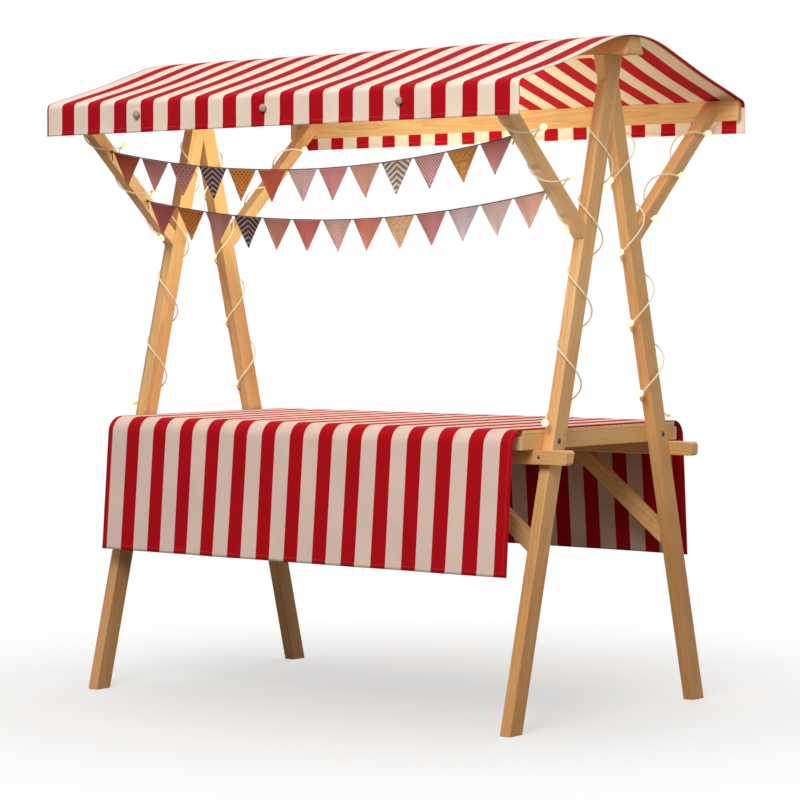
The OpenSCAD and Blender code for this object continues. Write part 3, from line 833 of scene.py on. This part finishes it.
def checks(tree, place, width):
    """Woven check on the bias: half a share for each of two crossing sets of slanting bands."""
    across, along, _ = split(tree, mapped(tree, place, turn=(0.0, 0.0, BIAS_TURN)))
    bands = [
        calc(tree, "GREATER_THAN", calc(tree, "FRACT", calc(tree, "DIVIDE", value, width)), 0.5)
        for value in (across, along)
    ]
    return calc(tree, "MULTIPLY", calc(tree, "ADD", *bands), 0.5)


def sprigs(tree, place, spacing):
    """Scattered small five-petalled sprigs: petals from the angle round each scattered point."""
    scaled = mapped(tree, place, (1 / spacing, 1 / spacing, 1.0))
    scattering = {"Vector": scaled, "Scale": 1.0, "Randomness": 0.75}
    scatter = add_node(tree, "ShaderNodeTexVoronoi", scattering, voronoi_dimensions="2D")
    ends = {0: scaled, 1: scatter.outputs["Position"]}
    away = add_node(tree, "ShaderNodeVectorMath", ends, operation="SUBTRACT").outputs[0]
    across, along, _ = split(tree, away)
    angle = calc(tree, "ARCTAN2", along, across)
    petal = calc(tree, "ABSOLUTE", calc(tree, "COSINE", calc(tree, "MULTIPLY", angle, 2.5)))
    edge = calc(tree, "ADD", calc(tree, "MULTIPLY", petal, 0.20), 0.10)
    inside = calc(tree, "SUBTRACT", edge, scatter.outputs["Distance"])
    return ease(tree, inside, -0.02, 0.03)


def cotton(name, ground, second=None, pattern=None, *sizes):
    """Light cotton with an optional print in a second colour."""
    material, tree, shader = new_material(name, roughness=0.9, sheen=0.15, specular=0.2)
    place = surface_place(tree, "UV")
    across, along, _ = split(tree, place)
    faded = noise(tree, place, 30.0, 4.0)
    worn = tuple(np.minimum(np.array(ground) * 1.20 + 0.02, 1.0))
    tone = blend_colours(tree, faded, ground, worn)
    if pattern:
        tone = blend_colours(tree, pattern(tree, place, *sizes), tone, second)
    left_over = calc(tree, "ADD", 1.0, calc(tree, "DIVIDE", along, PENNANT_DROP))
    half_width = calc(tree, "MULTIPLY", left_over, PENNANT_WIDTH / 2)
    from_side = calc(tree, "SUBTRACT", half_width, calc(tree, "ABSOLUTE", across))
    hem = ease(tree, from_side, *PENNANT_HEM, 1.0, 0.0)
    tone = blend_colours(tree, calc(tree, "MULTIPLY", hem, 0.22), tone, worn)
    tree.links.new(tone, shader.inputs["Base Color"])
    weave = calc(tree, "MULTIPLY", plain_weave(tree, across, along, COTTON_THREAD), 0.5)
    raise_bump(tree, shader, calc(tree, "ADD", weave, hem), 0.4, 0.0004)
    return material


PLAIN_COTTONS = {
    "rust": (178, 84, 60), "plum": (166, 84, 88), "mauve": (172, 118, 116), "dusty_rose": (198, 134, 134),
    "rose": (202, 114, 112), "salmon": (212, 134, 114), "brown_salmon": (190, 130, 112),
    "pale_salmon": (228, 182, 166), "pale_mauve": (218, 196, 192), "tan": (206, 156, 136),
    "lilac": (206, 190, 198),
}
PRINTED_COTTONS = {
    "dark_dotted": ((170, 116, 114), (88, 50, 56), dots, 0.020, 0.0026),
    "grey_dotted": ((208, 176, 176), (150, 106, 110), dots, 0.0125, 0.0017),
    "pink_dotted": ((222, 186, 180), (184, 112, 112), dots, 0.0125, 0.0018),
    "ochre_dotted": ((200, 126, 52), (146, 84, 34), dots, 0.0170, 0.0040),
    "black_chevron": ((58, 42, 44), (176, 152, 156), chevron, 0.019, 0.75, 0.36),
    "grey_chevron": ((126, 112, 110), (228, 218, 206), chevron, 0.020, 0.75, 0.48),
    "red_checked": ((176, 86, 90), (234, 208, 206), checks, 0.0085),
    "ochre_sprigged": ((194, 132, 62), (226, 186, 122), sprigs, 0.0125),
    "tan_sprigged": ((222, 182, 132), (246, 226, 194), sprigs, 0.0135),
}
UPPER_PRINTS = [
    "rust", "mauve", "dark_dotted", "black_chevron", "ochre_dotted", "rust", "grey_dotted", "dusty_rose",
    "tan", "grey_chevron", "red_checked", "ochre_sprigged", "dusty_rose",
]
LOWER_PRINTS = [
    "plum", "ochre_dotted", "mauve", "black_chevron", "brown_salmon", "rose", "pink_dotted", "salmon",
    "tan_sprigged", "dusty_rose", "lilac", "pale_mauve", "pale_salmon",
]
cottons = {name: cotton(name + "_cotton", srgb(*ground)) for name, ground in PLAIN_COTTONS.items()}
for name, (ground, second, *printing) in PRINTED_COTTONS.items():
    cottons[name] = cotton(name + "_cotton", srgb(*ground), srgb(*second), *printing)
print("cottons:", len(cottons))

# %% [markdown]
# ## Pennants
# Each pennant is a small triangle of cloth that hangs by its top edge from two points of the cord. Its
# grid narrows towards the tip: the row number sets the width that is left. Light cloth is never quite
# flat, so each pennant is bowed and its tip swings out or in by its own small amount.

# %% Pennants
PENNANT_THICK = 0.0008
PENNANT_ROWS = 22
PENNANT_COLUMNS = 17
TIP_WIDTH = 0.02
TIP_BOW = 0.004
TIP_SWING = 0.006
ROW_OFFSETS = {"upper": 0, "lower": 5}
CORD_TO_EDGE = CORD_DIAMETER / 2 + 0.0003


def pennant(name, left, right, number, material, node):
    """A triangular sheet from two points of the cord down to its tip, bowed and swung by its number."""
    across, down = np.meshgrid(np.linspace(-0.5, 0.5, PENNANT_COLUMNS), np.linspace(0, 1, PENNANT_ROWS))
    width = 1 - (1 - TIP_WIDTH) * down
    top = (left + right) / 2
    span = right - left
    bow = TIP_BOW * np.sin(1.7 * number + 2.2 * np.pi * across) * down * (1 - 0.4 * down)
    swing = TIP_SWING * np.sin(2.4 * number + 0.8) * down**2
    x = top[0] + span[0] * across * width
    y = top[1] + bow + swing
    z = top[2] + span[2] * across * width - CORD_TO_EDGE - PENNANT_DROP * down
    length = np.linalg.norm(span)
    uv = np.stack([across * width * length, -PENNANT_DROP * down], axis=-1)
    cells = grid_cells(PENNANT_ROWS, PENNANT_COLUMNS)[:, ::-1]
    piece = add_piece(name, np.stack([x, y, z], axis=-1), cells, [material], uv=uv)
    solid = piece.modifiers.new("cotton_thickness", "SOLIDIFY")
    solid.thickness = PENNANT_THICK
    solid.offset = 0.0
    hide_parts(node)


for row, route, prints in (("upper", upper_route, UPPER_PRINTS), ("lower", lower_route, LOWER_PRINTS)):
    for number, print_name in enumerate(prints):
        left, right = route[2 * number + 1], route[2 * number + 2]
        pennant(
            f"{row}_pennant_{number + 1:02d}", left, right, number + ROW_OFFSETS[row], cottons[print_name],
            f"{row}_bunting_flags",
        )
    print(row, "row has", len(prints), "pennants")

# %% [markdown]
# ## Valance knobs
# Turned knobs on the eave beams hold the canopy through the valance. They are of greyed beech, smooth and
# round, with a short neck. A lathe makes them, so a turned profile does too.

# %% Valance knobs
KNOB_SPACING = 0.560
KNOB_SHIFT = -0.014
KNOB_DROP = 0.046
KNOB_RADIUS = 0.013
KNOB_LENGTH = 0.018
KNOB_SIDES = 28


def turned_beech():
    """Greyed beech with fine flecks along the turning axis, waxed."""
    tones = srgb(152, 132, 116), srgb(188, 168, 150)
    flecks = {"limits": (0.35, 0.65), "relief": (0.2, 0.0003)}
    material, _, _ = mottled("turned_beech", tones, (260.0, 40.0, 260.0), 4.0, 0.4, **flecks)
    return material


knob_turn = np.linspace(-0.30 * np.pi, 0.5 * np.pi, 12)
ball = 0.8 * KNOB_RADIUS
knob_profile = np.concatenate([
    [(0.0, 0.0), (0.0075, 0.0), (0.0070, 0.0012)],
    np.column_stack([KNOB_RADIUS * np.cos(knob_turn), KNOB_LENGTH - ball + ball * np.sin(knob_turn)]),
])
knob_x = np.array([-KNOB_SPACING, 0.0, KNOB_SPACING]) + KNOB_SHIFT
knob_y = np.repeat([-canopy_high.y, canopy_high.y], 3)
knob_places = np.column_stack([np.tile(knob_x, 2), knob_y, np.full(6, eave_height - KNOB_DROP)])
knob_axes = np.column_stack([np.zeros(6), np.sign(knob_y), np.zeros(6)])
knob_points, knob_cells = turned(knob_profile, knob_places, knob_axes, KNOB_SIDES)
knobs = add_piece("valance_knobs", knob_points, knob_cells, [turned_beech()])
close_poles(knobs)
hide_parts("canopy_knobs")
print("knobs:", len(knob_places))

# %% [markdown]
# ## Pine
# The timber is planed pine under a thin clear oil. Pine shows growth rings: on a long face they run as
# lines and long arches along the piece, and on a cut end as curved bands. A flat picture can't do both,
# so the finish is solid: rings round a pith line that runs along the piece and lies a little outside it.
# The pattern needs the direction of each piece, which a Mapping node turns to the first axis. The legs
# are darker towards their feet, in blotches: dirt and painted shade.

# %% Pine figure
RING_WIDTH = 0.0065
RING_WAVES = (((1.1, 5.0, 5.0), 0.050), ((6.0, 45.0, 45.0), 0.006))
# Painted shade and dirt: a leg's colour is multiplied by this tint towards its foot, in blotches.
SHADE_AND_GRIME_TINT = (0.82, 0.72, 0.65, 1.0)
SHADE_AND_GRIME_HEIGHTS = (0.55, 1.10)
SHADE_AND_GRIME_BLOTCH = 0.3


def pine_figure():
    """Node group: colour, height and roughness of pine, with the place's first number along the grain."""
    group = bpy.data.node_groups.new("pine_figure", "ShaderNodeTree")
    group.interface.new_socket("Place", in_out="INPUT", socket_type="NodeSocketVector")
    for result, kind in (("Colour", "Color"), ("Height", "Float"), ("Roughness", "Float")):
        group.interface.new_socket(result, in_out="OUTPUT", socket_type="NodeSocket" + kind)
    place = add_node(group, "NodeGroupInput").outputs["Place"]

    _, y, z = split(group, place)
    squares = [calc(group, "MULTIPLY", value, value) for value in (y, z)]
    grown = calc(group, "SQRT", calc(group, "ADD", *squares))
    for scale, reach in RING_WAVES:
        wave = calc(group, "SUBTRACT", noise(group, place, scale), 0.5)
        grown = calc(group, "ADD", grown, calc(group, "MULTIPLY", wave, reach))
    ring = calc(group, "FRACT", calc(group, "DIVIDE", grown, RING_WIDTH))
    late = calc(group, "MULTIPLY", ease(group, ring, 0.35, 0.88), ease(group, ring, 0.93, 0.99, 1.0, 0.0))

    fibre = noise(group, place, (9.0, 620.0, 620.0), 3.0)
    patch = noise(group, place, (1.6, 12.0, 12.0), 3.0)
    cells = mapped(group, place, (2.6, 9.0, 9.0))
    knot_cells = add_node(group, "ShaderNodeTexVoronoi", {"Vector": cells, "Scale": 1.0})
    chosen, _, _ = add_node(group, "ShaderNodeSeparateColor", {0: knot_cells.outputs["Color"]}).outputs
    kept = calc(group, "GREATER_THAN", chosen, 0.82)
    knot = calc(group, "MULTIPLY", ease(group, knot_cells.outputs["Distance"], 0.05, 0.13, 1.0, 0.0), kept)

    tone = blend_colours(group, ease(group, patch, 0.3, 0.7), srgb(224, 174, 112), srgb(238, 193, 134))
    tone = blend_colours(group, calc(group, "MULTIPLY", late, 0.34), tone, srgb(196, 136, 76))
    tone = blend_colours(group, ease(group, fibre, 0.38, 0.70, 0.0, 0.20), tone, srgb(208, 150, 92))
    tone = blend_colours(group, calc(group, "MULTIPLY", knot, 0.6), tone, srgb(140, 84, 44))
    height = calc(group, "ADD", calc(group, "MULTIPLY", fibre, 0.6), calc(group, "MULTIPLY", late, 0.5))
    rough = ease(group, fibre, 0.3, 0.8, 0.50, 0.66)
    add_node(group, "NodeGroupOutput", {"Colour": tone, "Height": height, "Roughness": rough})
    return group


figure = pine_figure()


def pine(name, turn, pith, tint=None, shaded_grimy_foot=False):
    """Pine whose grain a turn lays along X, with its own pith line, and on a leg darker towards the foot:
    dirt and painted shade.
    """
    material, tree, shader = new_material(name, roughness=0.56, specular=0.4)
    place = surface_place(tree)
    along_grain = mapped(tree, place, turn=turn.to_euler(), shift=pith)
    wood = add_node(tree, "ShaderNodeGroup", {"Place": along_grain}, node_tree=figure)
    tone = wood.outputs["Colour"]
    if tint:
        tone = blend_colours(tree, 0.5, tone, tint)
    if shaded_grimy_foot:
        # painted shade and dirt: the tone darkens below the given heights, in blotches
        _, _, height = split(tree, place)
        blotch = calc(tree, "MULTIPLY", noise(tree, place, 9.0, 4.0), SHADE_AND_GRIME_BLOTCH)
        shade_and_grime = ease(tree, calc(tree, "ADD", height, blotch), *SHADE_AND_GRIME_HEIGHTS, 1.0, 0.0)
        tone = blend_colours(tree, shade_and_grime, tone, SHADE_AND_GRIME_TINT, "MULTIPLY")
    tree.links.new(tone, shader.inputs["Base Color"])
    tree.links.new(wood.outputs["Roughness"], shader.inputs["Roughness"])
    raise_bump(tree, shader, wood.outputs["Height"], 0.25, 0.0006)
    return material


print("pine rings are", RING_WIDTH * 1000, "mm wide")

# %% [markdown]
# ## Timber
# Every timber node keeps its CAD mesh and gets a pine of its own, with the grain along the piece and
# the pith in another place, so no two pieces show the same figure. The pith's place comes from the
# node's number in the list, which is the same in every run. The thin boards and lips are paler. Planed
# timber has its arrises eased with a few strokes, so a small bevel follows the sharp edges. The CAD mesh
# is made of loose triangles, so a weld comes before the bevel.

# %% Timber
ARRIS_ROUND = 0.0022
KNEE_ANGLE = np.radians(38.5)
PITH_TURN = 2.399
PITH_NEAREST = 0.045
PITH_RANGE = 0.03
FIGURE_STEP = 1.37
leg_rise = np.array([0, np.sin(lean), np.cos(lean)])
brace_rise = np.array([0, np.cos(brace_angle), np.sin(brace_angle)])
knee_rise = np.array([-np.cos(KNEE_ANGLE), 0, np.sin(KNEE_ANGLE)])
pale_tint = srgb(240, 206, 158)


def grain_of(node):
    """Direction along a timber node: X for the long pieces, else along the leg, brace, knee or rail."""
    facing = np.array([1, 1 if "back" in node else -1, 1])
    handed = np.array([1 if "right" in node else -1, 1, 1])
    if node.endswith("_leg"):
        return leg_rise * facing * (1, -1, 1)
    if node.endswith("eave_brace"):
        return brace_rise * facing
    if node.endswith("knee_brace"):
        return knee_rise * handed
    if node.endswith("end_rail") or node.endswith("batten"):
        return np.array([0.0, 1.0, 0.0])
    return np.array([1.0, 0.0, 0.0])


def ease_arrises(piece):
    """Rounds the sharp edges of a timber: its triangles are welded, then each sharp edge is bevelled."""
    weld = piece.modifiers.new("welded_triangles", "WELD")
    weld.merge_threshold = 1e-5
    bevel = piece.modifiers.new("eased_arrises", "BEVEL")
    bevel.width = ARRIS_ROUND
    bevel.segments = 3
    bevel.limit_method = "ANGLE"
    bevel.angle_limit = np.radians(40)


TIMBER_ENDINGS = ("_leg", "_brace", "_beam", "_rail", "_batten", "_apron", "_lip")
timber = sorted(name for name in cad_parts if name.endswith(TIMBER_ENDINGS) or "table_board" in name)
for number, name in enumerate(timber):
    turn = Vector(grain_of(name)).to_track_quat("X", "Z").inverted()
    turned_middle = np.array(turn @ middle_of(name))
    pith_angle = PITH_TURN * number
    pith_away = PITH_NEAREST + PITH_RANGE * np.sin(1.3 * number) ** 2
    offset = np.array([FIGURE_STEP * number, pith_away * np.cos(pith_angle), pith_away * np.sin(pith_angle)])
    pith = offset - turned_middle
    tint = pale_tint if "lip" in name or "table_board" in name else None
    material = pine(f"pine_{name}", turn, tuple(pith), tint, name.endswith("_leg"))
    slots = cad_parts[name].data.materials
    for slot_number in range(len(slots)):
        slots[slot_number] = material
    ease_arrises(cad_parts[name])
print("timber pieces finished:", len(timber))

# %% [markdown]
# ## Front rail
# The two table rails are alike in the CAD frame, but the skirt hides the left end of the front one, so it
# is cut a little shorter there. Its mesh is copied with the pine that it has by now, the points of that
# end are moved in, and the copy stands for the node.

# %% Front rail
RAIL_TRIM = 0.019


def trimmed_rail(node):
    """A copy of a rail whose points beyond the left legs are moved in by the trim."""
    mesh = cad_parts[node].data.copy()
    points = np.empty(3 * len(mesh.vertices))
    mesh.vertices.foreach_get("co", points)
    points = points.reshape(-1, 3)
    points[:, 0] += RAIL_TRIM * (points[:, 0] < -FRAME_X)
    mesh.vertices.foreach_set("co", points.ravel())
    piece = bpy.data.objects.new(node + "_timber", mesh)
    scene.collection.objects.link(piece)
    close_poles(piece)
    ease_arrises(piece)
    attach(piece, "root")
    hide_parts(node)
    print(piece.name, "is", RAIL_TRIM * 1000, "mm shorter on the left")


trimmed_rail("front_table_rail")

# %% [markdown]
# ## Bolts
# Dark coach bolts join the rails to the legs. A bolt head is a shallow dome on a washer, which is a
# turned profile again. Each one sits on the face of the timber that it goes through.

# %% Bolts
BOLT_SIDES = 24
LEG_BOLT_Y = 0.300
LEG_BOLT_Z = 0.908
RAIL_BOLT_SCALE = 0.55
WASHER_RINGS = 4
rail_low, rail_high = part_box("front_table_rail")
leg_outer_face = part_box("right_front_leg")[1].x
bolt_profile = np.array([
    (0.0, -0.002), (0.0102, -0.002), (0.0102, 0.0006), (0.0094, 0.0012), (0.0074, 0.0013),
    (0.0073, 0.0022), (0.0062, 0.0036), (0.0042, 0.0046), (0.0022, 0.0051), (0.0, 0.0053),
])


def bolt_steel(name, dark, worn):
    """Oiled steel, with lighter worn patches and fine pitting."""
    pitting = {"limits": (0.45, 0.75), "relief": (0.3, 0.0003)}
    material, _, shader = mottled(name, (dark, worn), 220.0, 4.0, 0.42, **pitting)
    shader.inputs["Metallic"].default_value = 0.85
    return material


head_steel = bolt_steel("blackened_steel", srgb(46, 40, 36), srgb(112, 100, 88))
washer_steel = bolt_steel("washer_steel", srgb(120, 108, 96), srgb(176, 160, 142))


def bolts(name, places, axes, scale):
    """Coach bolts as one piece: the first rings of the turned profile are the washer, the rest the head."""
    points, cells = turned(bolt_profile * scale, places, axes, BOLT_SIDES)
    on_washer = np.arange(len(bolt_profile) - 1) < WASHER_RINGS
    numbers = np.tile(np.repeat(on_washer.astype(int), BOLT_SIDES), len(places))
    piece = add_piece(name, points, cells, [head_steel, washer_steel], material_numbers=numbers)
    close_poles(piece)
    print(name, len(places))


corners = np.array([(1, -1, 1), (1, 1, 1), (-1, -1, 1), (-1, 1, 1)])
leg_bolt = np.array([leg_outer_face, LEG_BOLT_Y, LEG_BOLT_Z])
bolts("leg_bolts", corners * leg_bolt, corners * (1, 0, 0), 1.0)
rail_bolt = np.array([FRAME_X, -rail_low.y, (rail_low.z + rail_high.z) / 2])
bolts("rail_bolts", corners * rail_bolt, corners * (0, 1, 0), RAIL_BOLT_SCALE)

# %% [markdown]
# ## Floor and light
# The stall stands on a plain pale floor in soft studio light. A large lamp at the front right models the
# faces, a narrow weak one fills the right A-frame, and another lights the back. A dome that is bright
# overhead and warm and dark at its foot keeps the shadows open. Two small lamps, one over the counter and
# one under the ridge, stand for the glow of the string lights. The red cloth round them reddens their
# light, so they are slightly green themselves. Towards the distance the floor turns into plain white, so
# no horizon shows behind the stall. That white is only for the eye, so it isn't sampled as a lamp.

# %% Floor and light
FLOOR_RADIUS = 14.0
FLOOR_SIDES = 64
DOME_FOOT = (0.060, 0.046, 0.032, 1.0)
DOME_TOP = (0.76, 0.76, 0.76, 1.0)


def seen_directly(tree, path):
    """1 for a ray from the camera, a reflection or a glass, else 0."""
    mirrored = calc(tree, "MAXIMUM", path["Is Glossy Ray"], path["Is Transmission Ray"])
    return calc(tree, "MAXIMUM", path["Is Camera Ray"], mirrored)


def pale_floor():
    """Matt pale floor, darker in the light that it throws up, and plain white away from the stall."""
    material, tree, shader = new_material("pale_floor", roughness=0.9, specular=0.1)
    place = surface_place(tree)
    away = add_node(tree, "ShaderNodeVectorMath", {0: place}, operation="LENGTH").outputs["Value"]
    path = add_node(tree, "ShaderNodeLightPath").outputs
    across, _, _ = split(tree, place)
    thrown = blend_colours(tree, ease(tree, across, -1.2, 0.6), srgb(56, 46, 38), srgb(124, 110, 94))
    tone = blend_colours(tree, path["Is Diffuse Ray"], srgb(222, 220, 217), thrown)
    tree.links.new(tone, shader.inputs["Base Color"])
    share = calc(tree, "MULTIPLY", ease(tree, away, 0.6, 2.6, 0.5, 1.0), seen_directly(tree, path))
    white = add_node(tree, "ShaderNodeEmission", {"Color": (1.0, 1.0, 1.0, 1.0), "Strength": 1.0})
    mixed = add_node(tree, "ShaderNodeMixShader", {0: share, 1: shader.outputs[0], 2: white.outputs[0]})
    tree.links.new(mixed.outputs[0], tree.nodes["Material Output"].inputs["Surface"])
    material.cycles.emission_sampling = "NONE"
    return material


def floor_disc():
    """A flat disc round the stall."""
    turn = np.linspace(0, 2 * np.pi, FLOOR_SIDES, endpoint=False)
    points = FLOOR_RADIUS * np.column_stack([np.cos(turn), np.sin(turn), 0 * turn])
    mesh = bpy.data.meshes.new("floor")
    mesh.from_pydata(points.tolist(), [], [list(range(FLOOR_SIDES))])
    mesh.materials.append(pale_floor())
    floor = bpy.data.objects.new("floor", mesh)
    scene.collection.objects.link(floor)


def studio_lamp(name, place, size, watts, colour, aim=None, spread=180):
    """A soft lamp that the camera doesn't see: square and turned to its aim, or round where it has none."""
    data = bpy.data.lights.new(name, "AREA" if aim else "POINT")
    data.energy = watts
    data.color = colour
    lamp = bpy.data.objects.new(name, data)
    lamp.location = place
    if aim:
        data.size = size
        data.spread = np.radians(spread)
        lamp.rotation_euler = (Vector(aim) - Vector(place)).to_track_quat("-Z", "Y").to_euler()
    else:
        data.shadow_soft_size = size
    lamp.visible_camera = False
    scene.collection.objects.link(lamp)


floor_disc()
glow = (0.80, 1.0, 0.86)
studio_lamp("key_lamp", (3.2, -8.0, 6.6), 4.2, 590.0, (1.0, 0.97, 0.93), aim=(0.0, -0.3, 1.3))
studio_lamp("fill_lamp", (2.9, -1.7, 1.75), 0.9, 1.3, (1.0, 0.97, 0.92), aim=(0.8, -0.1, 1.75), spread=60)
studio_lamp("back_lamp", (-1.2, 3.6, 3.4), 2.0, 50.0, (1.0, 0.98, 0.95), aim=(0.0, 0.2, 1.4))
studio_lamp("counter_glow", (0.05, 0.0, 1.02), 0.4, 13.0, glow, aim=(0.05, 0.0, 2.0), spread=130)
studio_lamp("canopy_glow", (-0.40, 0.0, 1.74), 0.15, 6.5, glow)

world = bpy.data.worlds.new("studio")
world.use_nodes = True
scene.world = world
sky = world.node_tree
path = add_node(sky, "ShaderNodeLightPath").outputs
_, _, height = split(sky, surface_place(sky, "Generated"))
dome = blend_colours(sky, ease(sky, height, -0.2, 0.9), DOME_FOOT, DOME_TOP)
seen = blend_colours(sky, seen_directly(sky, path), dome, (1.0, 1.0, 1.0, 1.0))
sky.links.new(seen, sky.nodes["Background"].inputs["Color"])
print("studio ready")
